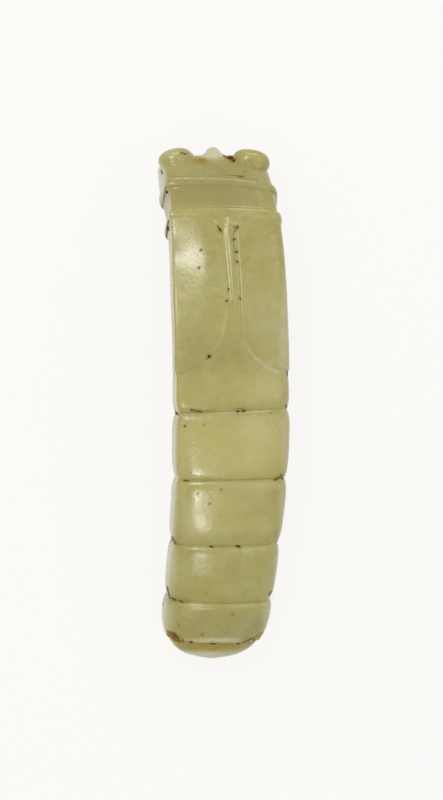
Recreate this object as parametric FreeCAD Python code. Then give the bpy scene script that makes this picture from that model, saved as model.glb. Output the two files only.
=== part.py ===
# Jade pendant carved as an insect, lying on its plain underside with the head towards +Y.
# Millimetres, +Z up, origin under the middle of the stone, at the level that it rests on.
# The stone is carved about a bowed centre line. A place along that line is its distance from the top
# of the bow, positive towards the head. Each local shape is drawn upright about the line, with local X
# across, local Y along and local Z up, and is then swung to its place.
import FreeCAD, Part
import math
import os

from FreeCAD import Matrix, Placement, Rotation, Vector

# The bow of the centre line
ARCH_RADIUS = 150.0  # seen from the side
HEAD_SWAY = 2.5  # seen from above, how far the face lies to the left of the top of the bow
TAIL_SWAY = 2.85

# Lengths along the centre line, from the face to the tail
TOP_OF_BOW_TO_FACE = 38.4
HEAD_LENGTH = 4.5
HOOP_LENGTH = 1.25
NECK_LENGTH = 3.6
WING_LENGTH = 23.7
WAIST_LENGTH = 5.5
SEGMENT_LENGTHS = (10.25, 10.0, 8.9, 6.4)
TAIL_CAP = 3.5
TAIL_ROUNDING = 7.9  # from the widest place of the last segment to the tip

# Girth
BODY_WIDTH = 18.0
BODY_HEIGHT = 14.4
CROWN = 0.8  # how far the back falls from its middle to its sides
GROOVE_DEPTH = 0.5
REST_DEPTH = 0.3  # how deep the underside is ground flat where the stone rests

# Outline of the body: width, height above the centre line and depth below it, as shares of the body's
# width and height, then the flare of the flanks as a share of the half width, and the squareness
FACE_SHARES = (0.92, 0.27, 0.36, 0.07, 3.0)
HEAD_SHARES = (0.975, 0.405, 0.435, 0.06, 3.2)
NECK_SHARES = (0.94, 0.45, 0.46, 0.04, 4.0)
WING_SHARES = (0.975, 0.49, 0.49, -0.01, 3.6)
WAIST_SHARES = (1.0, 0.50, 0.50, -0.01, 2.9)
SEGMENT_SHARES = (
    (1.00, 0.50, 0.50, 0.0, 2.8),
    (0.97, 0.475, 0.48, 0.0, 2.7),
    (0.95, 0.435, 0.46, 0.01, 2.6),
    (0.93, 0.385, 0.435, 0.02, 2.5),
)

# Degrees that the rings are turned by hand: face, head, neck, then the grooves and the tail's rim
RING_SKEWS = (0.0, -1.7, -0.5, 2.5, 1.0, 0.5, -0.5, -2.0)

# How a barrel of the abdomen draws in towards its grooves
GROOVE_SHARPNESS = 6.0
UNDERSIDE_GROOVE_SHARE = 0.35
BARREL_SHARES = (0.0, 0.05, 0.18, 0.5, 0.82, 0.95, 1.0)
CAP_SHARES = (0.0, 0.16, 0.33, 0.5, 0.67, 0.84)
TIP_SQUARENESS = 2.2

# Head
FACE_ROUNDING = 1.5
EYE_LENGTH = 3.5
EYE_WIDTH = 5.6
EYE_HEIGHT = 5.0
EYE_SPREAD = 11.9
EYE_SETBACK = 0.8
EYE_RAISE = 2.0
LEFT_EYE_TURN = 14.0  # degrees that its outer end is swept back
RIGHT_EYE_TURN = 8.0
NOSE_REACH = 1.45
NOSE_ROOT = 0.9
NOSE_WIDTH = 3.4
NOSE_HEIGHT = 5.0
NOSE_TIP_WIDTH = 1.2
NOSE_TIP_HEIGHT = 2.2
NOSE_RAISE = 1.3

# Raised hoops before and behind the neck
HOOP_RISE = 0.5
HOOP_SLANT = 10.0  # degrees that the foot of a hoop leans back
HOOP_BURIAL = 0.5  # how deep its foot lies inside the underside
HOOP_EDGE = 0.2

# Wings: a thin raised plate, with two slots that leave a tongue between them
WING_RISE = 0.3
WING_FOOT = 1.0  # height of the wings' lower edge over the centre line
SLOT_START = 1.6
SLOT_WIDTH = 0.6
TONGUE_WIDTH = 1.2
TONGUE_TIP_WIDTH = 0.3
TONGUE_LENGTH = 11.5
LOBE_PLACE_SHARES = (0.50, 0.60, 0.78, 0.85, 0.91, 0.945, 0.97, 1.0)  # of the wings' length
LOBE_GAP_SHARES = (0.11, 0.115, 0.16, 0.22, 0.33, 0.52, 0.72, 1.1)  # half the gap, of the half width

# Suspension bore across the tail, countersunk from both sides
BORE_RADIUS = 0.75
BORE_AHEAD_OF_RIM = 0.5
BORE_RAISE = 2.8
MOUTH_RADIUS = 1.1
MOUTH_DEPTH = 0.8
TAIL_STEP = 0.3  # how far the tail's cap lies inside the last segment's rim
TAIL_BURIAL = 1.2  # how far it runs into that segment

# Burial crust left in the carving. Each lump has its direction from the centre line, counted from the right
# flank over the back as a share of a half turn, and its width and length as shares of the lump size.
# The first three tables begin each lump with its place along the feature that holds it.
LUMP_SIZE = 1.0
LUMP_HEIGHT = 0.5
EYE_LUMP_SHARES = (
    (0.17, 0.325, 1.2, 0.8),
    (0.28, 0.315, 0.7, 0.9),
    (0.51, 0.147, 0.5, 0.4),
    (0.59, 0.953, 0.5, 0.5),
    (0.08, 0.768, 0.7, 0.3),
)
COLLAR_LUMP_SHARES = (
    (-0.09, 0.335, 2.4, 0.45),
    (-0.13, 0.248, 0.5, 0.3),
    (0.44, 0.877, 1.0, 1.5),
    (1.91, 0.935, 1.0, 1.7),
)
SLOT_LUMP_SHARES = (
    (0.086, 0.565, 0.6, 1.1),
    (0.073, 0.434, 0.55, 0.9),
    (0.147, 0.468, 0.55, 1.0),
    (0.227, 0.460, 0.55, 1.2),
    (0.289, 0.462, 0.55, 1.0),
    (0.466, 0.534, 0.6, 0.9),
    (0.54, 0.55, 0.55, 1.1),
    (0.528, 0.455, 0.55, 0.9),
)
LOBE_LUMP_SHARES = ((0.882, 0.664, 0.7, 0.6), (1.018, 0.852, 0.45, 0.45), (0.998, 0.139, 0.6, 1.0))
GROOVE_LUMP_SHARES = (
    (
        (0.963, 0.8, 0.6),
        (0.894, 0.6, 0.5),
        (0.751, 1.5, 0.55),
        (0.710, 0.6, 0.6),
        (0.482, 0.6, 0.45),
        (0.440, 0.8, 0.35),
        (0.113, 0.7, 0.5),
    ),
    ((0.826, 0.6, 0.5), (0.172, 0.6, 0.7), (0.122, 0.4, 0.6)),
    ((0.911, 0.8, 0.7), (0.636, 0.45, 0.5), (0.421, 0.6, 0.5), (0.097, 0.6, 0.5)),
    ((0.930, 0.6, 0.8), (0.885, 0.9, 0.5), (0.826, 0.8, 0.5), (0.113, 0.7, 0.6)),
)
RIM_LUMP_SHARES = ((0.734, 0.9, 0.5), (0.528, 1.6, 0.35), (0.273, 1.0, 0.4), (0.18, 1.0, 0.5))
GROOVE_NAMES = ("first", "second", "third", "fourth")

# Drawing
SECTION_POINTS = 24
WING_POINTS = 13
OVERRUN = 12.0  # how far probes and cutters reach past what they pass through


def girth_row(shares):
    """Half width, height above, depth below, flare and squareness."""
    width, above, below, flare, squareness = shares
    return (BODY_WIDTH * width / 2, BODY_HEIGHT * above, BODY_HEIGHT * below, flare, squareness)


# Places of the rings along the centre line
FACE = TOP_OF_BOW_TO_FACE
HEAD_BACK = FACE - HEAD_LENGTH
NECK_BACK = HEAD_BACK - HOOP_LENGTH - NECK_LENGTH
WING_FRONT = NECK_BACK - HOOP_LENGTH
WING_BACK = WING_FRONT - WING_LENGTH
GROOVES = [WING_BACK - WAIST_LENGTH]
for segment_length in SEGMENT_LENGTHS:
    GROOVES.append(GROOVES[-1] - segment_length)
TAIL_RIM = GROOVES[-1]
TAIL_TIP = TAIL_RIM - TAIL_CAP

GIRTH_ROWS = [
    (FACE, girth_row(FACE_SHARES)),
    (HEAD_BACK, girth_row(HEAD_SHARES)),
    (NECK_BACK, girth_row(NECK_SHARES)),
    (WING_FRONT - WING_LENGTH / 2, girth_row(WING_SHARES)),
    (GROOVES[0], girth_row(WAIST_SHARES)),
]
for ahead, behind, shares in zip(GROOVES, GROOVES[1:], SEGMENT_SHARES):
    GIRTH_ROWS.append(((ahead + behind) / 2, girth_row(shares)))

SKEW_ROWS = list(zip([FACE, HEAD_BACK, NECK_BACK] + GROOVES, RING_SKEWS))


def between(rows, place):
    """The values of a table at a place, eased between its rows and steady past its ends."""
    if place >= rows[0][0]:
        return rows[0][1]
    for (ahead, front), (behind, back) in zip(rows, rows[1:]):
        if place >= behind:
            share = (ahead - place) / (ahead - behind)
            if isinstance(front, tuple):
                return tuple(f + (b - f) * share for f, b in zip(front, back))
            return front + (back - front) * share
    return rows[-1][1]


def sway(place):
    """How far the centre line lies to the left at a place."""
    return HEAD_SWAY * (place / FACE) ** 3 if place > 0 else TAIL_SWAY * (place / TAIL_TIP) ** 2


def swing(place):
    """The placement that takes a locally drawn shape to its place along the bow."""
    bend = place / ARCH_RADIUS
    centre = Vector(-sway(place), ARCH_RADIUS * math.sin(bend), ARCH_RADIUS * (math.cos(bend) - 1))
    tip = Rotation(Vector(1, 0, 0), -math.degrees(bend))
    return Placement(centre, tip.multiply(Rotation(Vector(0, 0, 1), between(SKEW_ROWS, place))))


def swung(shape, place):
    shape.Placement = swing(place).multiply(shape.Placement)
    return shape


def skin_point(angle, half_width, above, below, flare, squareness):
    """The point of a section's outline at an angle, counted from local +X over the back."""
    across = math.copysign(abs(math.cos(angle)) ** (2 / squareness), math.cos(angle))
    up = math.copysign(abs(math.sin(angle)) ** (2 / squareness), math.sin(angle))
    fall = CROWN * across**2 * up if up > 0 else 0.0
    return Vector(half_width * across * (1 - flare * up), 0, up * (above if up > 0 else below) - fall)


def spline(points, closed=False):
    curve = Part.BSplineCurve()
    curve.interpolate(Points=points, PeriodicFlag=closed)
    return curve.toShape()


def body_section(place, inset=0.0, underside_inset=0.0, scale=1.0):
    """One section of the body. The inset draws in its back and flanks."""
    half_width, above, below, flare, squareness = between(GIRTH_ROWS, place)
    points = [
        skin_point(
            2 * math.pi * step / SECTION_POINTS,
            half_width * scale - inset,
            above * scale - inset,
            below * scale - underside_inset,
            flare,
            squareness,
        )
        for step in range(SECTION_POINTS)
    ]
    return swung(Part.Wire([spline(points, closed=True)]), place)


def loft(wires):
    return Part.makeLoft(wires, True, False)


def head_block():
    """The head, rounded towards a small flat face."""
    sections = []
    for share in (0.0, 0.12, 0.4, 1.0):
        inset = FACE_ROUNDING * (1 - math.sqrt(1 - (1 - share) ** 2))
        sections.append(body_section(FACE - FACE_ROUNDING * share, inset, inset))
    sections.append(body_section(HEAD_BACK))
    return loft(sections)


def thorax():
    """The plain core from the head to the first groove of the abdomen."""
    sections = [body_section(HEAD_BACK), body_section(NECK_BACK)]
    for share in (0.25, 0.5, 0.75, 1.0):
        sections.append(body_section(WING_FRONT - WING_LENGTH * share))
    for share in (0.5, 0.82, 0.95, 1.0):
        inset = GROOVE_DEPTH * share**GROOVE_SHARPNESS
        sections.append(
            body_section(WING_BACK - WAIST_LENGTH * share, inset, inset * UNDERSIDE_GROOVE_SHARE)
        )
    return loft(sections)


def tail_narrowing(place):
    """How much of the full girth is left where the tail rounds off."""
    past = max(TAIL_TIP + TAIL_ROUNDING - place, 0) / TAIL_ROUNDING
    return (1 - past**TIP_SQUARENESS) ** (1 / TIP_SQUARENESS)


def abdomen_segment(front, back):
    """One barrel of the abdomen, drawn in at its grooves. The last one ends in the tail's open rim."""
    sections = []
    for share in BARREL_SHARES:
        inset = GROOVE_DEPTH * abs(2 * share - 1) ** GROOVE_SHARPNESS
        if back == TAIL_RIM and share > BARREL_SHARES[0]:
            inset *= 1 - share
        place = front + (back - front) * share
        sections.append(body_section(place, inset, inset * UNDERSIDE_GROOVE_SHARE, tail_narrowing(place)))
    return loft(sections)


def ellipsoid(length_x, length_y, length_z):
    """An ellipsoid about the origin, by its three full lengths."""
    stretch = Matrix()
    stretch.scale(Vector(length_x / 2, length_y / 2, length_z / 2))
    return Part.makeSphere(1.0).transformGeometry(stretch)


def tail_cap():
    """The rounded tip that shows behind the rim of the last segment."""
    middle = TAIL_TIP + TAIL_ROUNDING
    front_angle = math.asin((middle - TAIL_RIM - TAIL_BURIAL) / TAIL_ROUNDING)
    sections = []
    for share in CAP_SHARES:
        angle = front_angle + (math.pi / 2 - front_angle) * share
        place = middle - TAIL_ROUNDING * math.sin(angle)
        scale = tail_narrowing(place)
        sections.append(body_section(place, TAIL_STEP * scale, TAIL_STEP * scale, scale))
    sections.append(Part.Vertex(swing(TAIL_TIP).Base))
    return loft(sections)


def hoop(front):
    """A raised band round the back and flanks, slanting back to a foot buried in the underside."""
    wires = []
    for place in (front, front - HOOP_LENGTH):
        half_width, above, below, flare, squareness = between(GIRTH_ROWS, place)
        points = []
        for step in range(SECTION_POINTS):
            point = skin_point(
                2 * math.pi * step / SECTION_POINTS,
                half_width + HOOP_RISE,
                above + HOOP_RISE,
                below - HOOP_BURIAL,
                flare,
                squareness,
            )
            point.y = (point.z - above) * math.tan(math.radians(HOOP_SLANT))
            points.append(point)
        wires.append(swung(Part.Wire([spline(points, closed=True)]), place))
    band = loft(wires)
    return band.makeFillet(HOOP_EDGE, [edge for edge in band.Edges if edge.isClosed()])


def wing_section(place):
    """One section of the wings' plate: a raised back that stops at the wings' foot."""
    half_width, above, below, flare, squareness = between(GIRTH_ROWS, place)
    foot = math.asin((WING_FOOT / above) ** (squareness / 2))
    points = []
    for step in range(WING_POINTS):
        angle = foot + (math.pi - 2 * foot) * step / (WING_POINTS - 1)
        points.append(
            skin_point(angle, half_width + WING_RISE, above + WING_RISE, below, flare, squareness)
        )
    wire = Part.Wire([spline(points), Part.makeLine(points[-1], points[0])])
    return swung(wire, place)


def plan_point(place, across):
    """Where a point of the back lies in plan."""
    above = between(GIRTH_ROWS, place)[1]
    point = swing(place).multVec(Vector(across, 0, above))
    return Vector(point.x, point.y, -OVERRUN)


def gap_between_lobes():
    """The upright cutter for the slots and the gap that opens between the wings' lobes."""
    slot_front = WING_FRONT - SLOT_START
    half_width = BODY_WIDTH / 2
    rim = [(slot_front, TONGUE_WIDTH / 2 + SLOT_WIDTH)]
    for place_share, gap_share in zip(LOBE_PLACE_SHARES, LOBE_GAP_SHARES):
        rim.append((WING_FRONT - WING_LENGTH * place_share, half_width * gap_share))
    right = [plan_point(place, gap) for place, gap in rim]
    left = [plan_point(place, -gap) for place, gap in rim]
    back_right = plan_point(WING_BACK - WAIST_LENGTH, half_width + OVERRUN)
    back_left = plan_point(WING_BACK - WAIST_LENGTH, -half_width - OVERRUN)
    outline = Part.Wire(
        [
            spline(right),
            Part.makeLine(right[-1], back_right),
            Part.makeLine(back_right, back_left),
            Part.makeLine(back_left, left[-1]),
            spline(left[::-1]),
            Part.makeLine(left[0], right[0]),
        ]
    )
    tongue_tip = slot_front - TONGUE_LENGTH
    tongue = Part.makePolygon(
        [
            plan_point(WING_FRONT, -TONGUE_WIDTH / 2),
            plan_point(tongue_tip, -TONGUE_TIP_WIDTH / 2),
            plan_point(tongue_tip, TONGUE_TIP_WIDTH / 2),
            plan_point(WING_FRONT, TONGUE_WIDTH / 2),
            plan_point(WING_FRONT, -TONGUE_WIDTH / 2),
        ]
    )
    return Part.Face(outline).cut(Part.Face(tongue)).extrude(Vector(0, 0, 2 * OVERRUN))


def wings():
    places = [WING_FRONT + HOOP_LENGTH / 2, WING_FRONT - WING_LENGTH / 4, WING_FRONT - WING_LENGTH / 2]
    places += [WING_FRONT - WING_LENGTH * 3 / 4, WING_BACK, WING_BACK - WAIST_LENGTH / 2]
    return loft([wing_section(place) for place in places]).cut(gap_between_lobes())


def eye(side, turn):
    ball = ellipsoid(EYE_WIDTH, EYE_LENGTH, EYE_HEIGHT)
    ball.rotate(Vector(), Vector(0, 0, 1), -side * turn)
    ball.translate(Vector(side * EYE_SPREAD / 2, 0, EYE_RAISE))
    return swung(ball, FACE - EYE_SETBACK)


def upright_oval(width, height, place):
    curve = Part.Ellipse(Vector(), height / 2, width / 2)
    wire = Part.Wire([curve.toShape()])
    wire.rotate(Vector(), Vector(0, 0, 1), 90)
    wire.rotate(Vector(), Vector(1, 0, 0), 90)
    wire.translate(Vector(0, 0, NOSE_RAISE))
    return swung(wire, place)


def nose():
    """The upright keel between the eyes."""
    root = FACE - NOSE_ROOT
    tip = FACE + NOSE_REACH
    middle_width = (NOSE_WIDTH + NOSE_TIP_WIDTH) / 2
    middle_height = (NOSE_HEIGHT + NOSE_TIP_HEIGHT) / 2
    return loft(
        [
            upright_oval(NOSE_WIDTH, NOSE_HEIGHT, root),
            upright_oval(middle_width, middle_height, (root + tip) / 2),
            upright_oval(NOSE_TIP_WIDTH, NOSE_TIP_HEIGHT, tip),
        ]
    )


def suspension_bore(stone):
    """The straight hole across the tail with a countersunk mouth at each flank."""
    reach = BODY_WIDTH / 2 + OVERRUN
    middle = swing(TAIL_RIM + BORE_AHEAD_OF_RIM).multVec(Vector(0, 0, BORE_RAISE))
    start = middle - Vector(reach, 0, 0)
    inside = stone.common(Part.makeLine(start, middle + Vector(reach, 0, 0))).BoundBox
    cutters = [Part.makeCylinder(BORE_RADIUS, 2 * reach, start, Vector(1, 0, 0))]
    for side, skin in ((-1, inside.XMin), (1, inside.XMax)):
        outwards = Vector(side, 0, 0)
        mouth = Vector(skin, middle.y, middle.z)
        cutters.append(
            Part.makeCone(BORE_RADIUS, MOUTH_RADIUS, MOUTH_DEPTH, mouth - outwards * MOUTH_DEPTH, outwards)
        )
        cutters.append(Part.makeCylinder(MOUTH_RADIUS, OVERRUN, mouth, outwards))
    return cutters


def features():
    """The overlapping solids that the stone's carving is made of."""
    solids = [head_block(), thorax(), tail_cap(), hoop(HEAD_BACK), hoop(NECK_BACK), wings()]
    solids += [eye(-1, LEFT_EYE_TURN), eye(1, RIGHT_EYE_TURN), nose()]
    solids += [abdomen_segment(front, back) for front, back in zip(GROOVES, GROOVES[1:])]
    return solids


def carved_stone(shapes):
    """The one stone: its features in one solid, ground flat where it rests and bored across the tail."""
    stone = shapes[0].fuse(shapes[1:])
    box = stone.optimalBoundingBox(False, False)
    corner = Vector(box.XMin - OVERRUN, box.YMin - OVERRUN, box.ZMin - OVERRUN)
    ground = Part.makeBox(
        box.XLength + 2 * OVERRUN, box.YLength + 2 * OVERRUN, OVERRUN + REST_DEPTH, corner
    )
    return stone.cut([ground] + suspension_bore(stone))


def near(shapes, shape):
    return [other for other in shapes if other.BoundBox.intersect(shape.BoundBox)]


def skin_reach(shapes, foot, outwards):
    """How far from a point inside the stone its skin lies."""
    probe = Part.makeLine(foot, foot + outwards * (BODY_WIDTH / 2 + OVERRUN))
    inside = [vertex for shape in near(shapes, probe) for vertex in shape.common(probe).Vertexes]
    return max((vertex.Point - foot).dot(outwards) for vertex in inside)


def lump(shapes, place, turn_share, width_share, length_share):
    """One lump of crust, whose middle lies on the skin."""
    half_width, above, _, _, squareness = between(GIRTH_ROWS, place)
    angle = math.pi * turn_share
    outwards = Vector(math.cos(angle), 0, math.sin(angle))
    placement = swing(place)
    reach = skin_reach(shapes, placement.Base, placement.Rotation.multVec(outwards))
    lean = math.atan2(
        abs(outwards.x / half_width) ** (squareness - 1) / half_width,
        abs(outwards.z / above) ** (squareness - 1) / above,
    )
    drop = ellipsoid(LUMP_SIZE * width_share, LUMP_SIZE * length_share, LUMP_HEIGHT)
    drop.rotate(Vector(), Vector(0, 1, 0), math.copysign(math.degrees(lean), outwards.x))
    drop.translate(outwards * reach)
    return swung(drop, place)


def crust_spots():
    """The spots of every group of lumps: place, direction, width and length."""
    groups = {}
    for name, front, reach, spots in (
        ("eye_crust", FACE, HEAD_LENGTH, EYE_LUMP_SHARES),
        ("collar_crust", HEAD_BACK, NECK_LENGTH, COLLAR_LUMP_SHARES),
        ("wing_slot_crust", WING_FRONT, WING_LENGTH, SLOT_LUMP_SHARES),
        ("wing_tip_crust", WING_FRONT, WING_LENGTH, LOBE_LUMP_SHARES),
    ):
        groups[name] = [(front - reach * along, *shares) for along, *shares in spots]
    for name, groove, spots in zip(GROOVE_NAMES, GROOVES, GROOVE_LUMP_SHARES):
        groups[name + "_groove_crust"] = [(groove, *shares) for shares in spots]
    groups["tail_rim_crust"] = [(TAIL_RIM, *shares) for shares in RIM_LUMP_SHARES]
    return groups


def crust(shapes, stone, spots):
    """A group of lumps, each filling the carving under it."""
    drops = Part.makeCompound([lump(shapes, *spot) for spot in spots])
    return drops.cut(stone)


def main():
    os.makedirs("parts", exist_ok=True)
    shapes = features()
    stone = carved_stone(shapes)
    nodes = {"jade_body": stone}
    for name, spots in crust_spots().items():
        nodes[name] = crust(shapes, stone, spots)
    box = stone.optimalBoundingBox(False, False)
    seat = Vector(box.Center.x, box.Center.y, box.ZMin)
    for name, shape in nodes.items():
        shape.translate(-seat)
        shape.exportStep("parts/" + name + ".step")


main()
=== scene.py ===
# The looks of the jade insect pendant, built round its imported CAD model.
# The stone is made again as one fine mesh from the same bowed line, rings and carving as its CAD node.
# It is solved in millimetres in a straightened space: x across, place along the line towards the head,
# z up out of the back. It is then bent to the bow, seated and scaled to metres.
import math

import bmesh
import bpy
import numpy as np
from mathutils import Matrix, Vector


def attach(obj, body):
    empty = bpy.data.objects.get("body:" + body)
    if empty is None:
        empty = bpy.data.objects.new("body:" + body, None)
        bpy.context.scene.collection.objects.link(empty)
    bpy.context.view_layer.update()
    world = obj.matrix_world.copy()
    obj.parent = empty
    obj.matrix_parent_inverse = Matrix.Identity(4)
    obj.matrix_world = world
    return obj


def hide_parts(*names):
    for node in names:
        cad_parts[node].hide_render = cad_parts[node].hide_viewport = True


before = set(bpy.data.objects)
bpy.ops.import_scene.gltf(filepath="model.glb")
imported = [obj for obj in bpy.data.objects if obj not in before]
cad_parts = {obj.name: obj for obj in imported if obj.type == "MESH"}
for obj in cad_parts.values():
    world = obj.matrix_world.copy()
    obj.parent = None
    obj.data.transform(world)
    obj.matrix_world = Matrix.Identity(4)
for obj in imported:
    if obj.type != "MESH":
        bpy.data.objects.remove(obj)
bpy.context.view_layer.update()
MM = 0.001

# The bow, and where the stone's own origin lies once it is seated
ARCH_RADIUS = 150.0
HEAD_SWAY = 2.5
TAIL_SWAY = 2.85
SEAT = (-0.93299, -0.06732, -9.64716)

# Places along the bowed line, from the face to the tail
FACE = 38.4
HEAD_BACK = 33.9
HOOP_LENGTH = 1.25
NECK_BACK = 29.05
WING_FRONT = 27.8
WING_BACK = 4.1
GROOVES = (-1.4, -11.65, -21.65, -30.55)
TAIL_RIM = -36.95
TAIL_TIP = -40.45
TAIL_ROUNDING = 7.9
TIP_SQUARENESS = 2.4
TAIL_STEP = 0.3  # how far the cap draws in behind the rim, and over what length
TAIL_STEP_RUN = 0.16

# Rings: place, half width, height above, depth below, flare, squareness
RINGS = np.array(
    ((FACE, 8.28, 3.888, 5.184, 0.07, 3.4), (HEAD_BACK, 8.775, 5.832, 6.264, 0.06, 4.4),
     (NECK_BACK, 8.6, 6.48, 6.624, 0.02, 8.0), (15.95, 8.95, 7.056, 7.056, -0.01, 8.0),
     (GROOVES[0], 9.0, 7.2, 7.2, -0.01, 6.5), (-6.525, 9.0, 7.2, 7.2, 0.0, 6.0),
     (-16.65, 8.73, 6.84, 6.912, 0.0, 5.5), (-26.1, 8.55, 6.264, 6.624, 0.01, 4.6),
     (-33.75, 8.37, 5.544, 6.264, 0.02, 3.4))
)[::-1]
# Place, how far the two facets of the back fall from its middle to its sides, how much squarer the left
# corner is, and the share that the right side is narrower
CROWNS = np.array(
    ((31.0, 0.95, 3.5, 0.0), (26.0, 0.95, 8.0, 0.03), (15.0, 0.95, 8.0, 0.06), (5.0, 0.95, 7.0, 0.06),
     (0.0, 1.0, 3.5, 0.015), (-3.0, 1.1, 1.6, 0.0), (-16.0, 1.45, 1.0, 0.0))
)[::-1]
RIDGE_SOFTNESS = 0.25
RIDGE_POWER = 0.6
UNDERSIDE_SQUARENESS = 3.2
THINNEST = 0.02  # the least half size of a ring
LEAST = 0.05  # keeps shares and heights off zero

# Degrees that the rings are turned by hand
SKEWS = np.array(
    ((FACE, 0.0), (HEAD_BACK, -1.7), (NECK_BACK, -0.5), (GROOVES[0], 2.5), (GROOVES[1], 1.0),
     (GROOVES[2], 0.5), (GROOVES[3], -0.5), (TAIL_RIM, -2.0))
)[::-1]

# Barrels and their grooves
GROOVE_DEPTH = 0.5
BARREL_FRONT = 8.0  # how flat the barrels are towards their fronts, and towards their backs
BARREL_BACKS = (20.0, 4.5, 4.5, 6.0, 6.0)
FLANK_FRONT = 5.0  # the same for their flanks
FLANK_BACKS = (4.5, 4.0, 4.0, 4.5, 5.0)
BACK_GROOVE_LOSS = 0.2  # the share that the grooves are shallower across the back
UNDERSIDE_GROOVE_SHARE = 0.35
INCISED_DEPTH = 0.04
INCISED_WIDTH = 0.16
INCISED_WAVER = 0.05
UNDERSIDE_LINE_SHARE = 0.25
TAIL_LINE = (0.14, 0.22, 0.14)  # depth, how far behind the rim, width

# Face, eyes and nose
FACE_ROUNDING = 1.5
EYE = (5.6, 3.3, 5.0)
EYE_SPREAD = 11.9
EYE_SETBACK = 0.7
EYE_RAISE = 2.1
EYE_TURNS = {-1: 14.0, 1: 8.0}  # degrees that the outer end of each eye is swept back
EYE_SQUARENESS = 2.3
EYE_FILLET = 0.4
CREASE_DEPTH = 0.1
CREASE_SPREAD = 0.045  # square millimetres
NOSE_REACH = 1.45
NOSE_ROOT = 0.9
NOSE_BURIAL = 2.5
NOSE_RAISE = 1.3
NOSE_SHIFT = 0.4  # how far its tip lies to the right
NOSE_WIDTHS = (3.0, 2.15, 0.75)  # at its root, less by at its tip, and how fast that comes
NOSE_HEIGHTS = (2.6, 1.4)
NOSE_SQUARENESS = 1.5
NOSE_EDGE = 0.2
NOSE_FILLET = 1.1

# Collar
HOOP_RISE = 0.5
HOOP_FLATTENING = 0.15  # how much less it rises on top
HOOP_BURIAL = 0.5
HOOP_EDGE = 0.2
HOOP_BEVEL = math.radians(16.0)  # the slope of its front edge
HOOP_BEVEL_LENGTH = 0.34
HOOP_BACK_BEVEL = 0.3
HOOP_BACK_EDGE = 0.12
HOOP_FILLET = 0.42
HOOP_LEAN = math.tan(math.radians(10.0))

# Wings, with the tongue between them
WING_RISE = 0.3
WING_FOOT = 1.0
WING_OVERLAP = 0.6  # how far the wings run in under the collar
WING_EDGE = 0.24  # rounding of their edges, and how much more of it on the left and at the rear
LEFT_EDGE_MORE = 0.16
REAR_EDGE_MORE = 0.1
WING_FILLET = 0.2
SLOT_FRONT = 26.2
SLOT_FRONT_SLOPE = 0.5
MIDDLE_RUN = 1.6  # how wide the change from the left wing to the right one is
LEFT_WEAR = 0.2  # how much lower the left wing is along its slot, and how far from it
LEFT_WEAR_REACH = 2.0
RIGHT_WEAR = 0.2  # the same for the right wing, along its rear edge
RIGHT_WEAR_REACH = 0.9
REAR_WEAR_FRONT = 13  # where the wear of the rear edge sets in, and over what length
REAR_WEAR_RUN = 5
TONGUE_TIP = 14.7
TONGUE_CREST = (-0.02, -0.05)  # x of its crest at its front and tip
TONGUE_SHIFT = 0.1  # how far its body lies to the left of its crest
TONGUE_HALF_WIDTH = 0.36  # at its tip, and how much more at its front
TONGUE_SPREAD = 0.22
TONGUE_TIP_SLOPE = 0.2
TONGUE_LOWERING = 0.05
TONGUE_EDGE = 0.45
CREST_SOFTNESS = 0.3
RIGHT_SLOPE = 0.34
LEFT_SLOPE = (0.16, 18.5, 1.8)  # most, at which place, reach
ROOT_SLOPE = (0.5, 0.3, 1.2)  # how deep the tongue dives, how far ahead of the slots, over what length

# The gap between the wings: place, then how far its edges lie to the left and right of the middle
GAP = np.array(
    ((26.2, 1.3, 1.1), (24.0, 1.45, 1.05), (17.5, 1.2, 1.05), (13.6, 1.0, 0.98), (9.5, 1.9, 1.1),
     (7.65, 3.1, 1.9), (6.2, 4.6, 2.97), (5.4, 6.0, 4.68), (4.8, 7.4, 6.48), (4.1, 9.9, 9.9))
)[::-1]
SLOT_FLOORS = {-1: 0.04, 1: 0.05}  # how much deeper the floors of the two slots are
SLOT_FLOOR_WIDTH = 0.3

# Short cuts at the fronts of the slots: x and place of both ends
SLOT_CUTS = ((-2.3, 27.1, -1.4, 25.5), (1.25, 26.7, 1.1, 25.7))
SLOT_CUT_DEPTH = 0.1
SLOT_CUT_WIDTH = 0.18

# Low swells of the back: x, place, reaches across and along, height
SWELLS = ((-4.8, -18.8, 3.4, 3.4, 0.10), (-2.5, -10.6, 7.0, 2.2, 0.13))

# Shallow facets ground on the left: place, reach along, inner and outer x, depth
FACETS = ((21.2, 3.6, -3.4, -9.0, 0.85),)
BACK_HEIGHT = 4  # swells and facets come in fully at this height

# Bore across the tail
BORE_RADIUS = 0.75
BORE_MIDDLE = (-36.6987, 7.95797)  # y and z
BORE_MOUTHS = (-7.585, 5.09)  # x of the skin at its left and right ends
BORE_SIDES = 40
BORE_OVERRUN = 1.5
MOUTH_RADIUS = 1.1
MOUTH_DEPTH = 0.8
MOUTH_STAIN_MARGIN = 0.03

# The stone's mesh
COLUMNS = 188
FACE_RINGS = 34
EDGE_RINGS = 9
HEAD_ROWS = 16
BODY_ROWS = 405
TAIL_ROWS = 52
SEARCH_OUT = 2.4
SEARCH_IN = 3.0
SEARCH_STEPS = 27
SEARCH_HALVINGS = 13

# The photograph: 443 x 800 pixels, seen from a little to the left of straight above
PIXEL = 0.15625  # millimetres
IMAGE = (443, 800)
TOP_OF_BOW = (235.4, 402.0)  # pixel
TILT = math.radians(6.0)
CAMERA_DISTANCE = 900.0


def ring(place):
    """Half width, height above, depth below, flare, squareness, crown, left squareness and right share."""
    rings = [np.interp(place, RINGS[:, 0], RINGS[:, column]) for column in range(1, 6)]
    return rings + [np.interp(place, CROWNS[:, 0], CROWNS[:, column]) for column in (1, 2, 3)]


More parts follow.
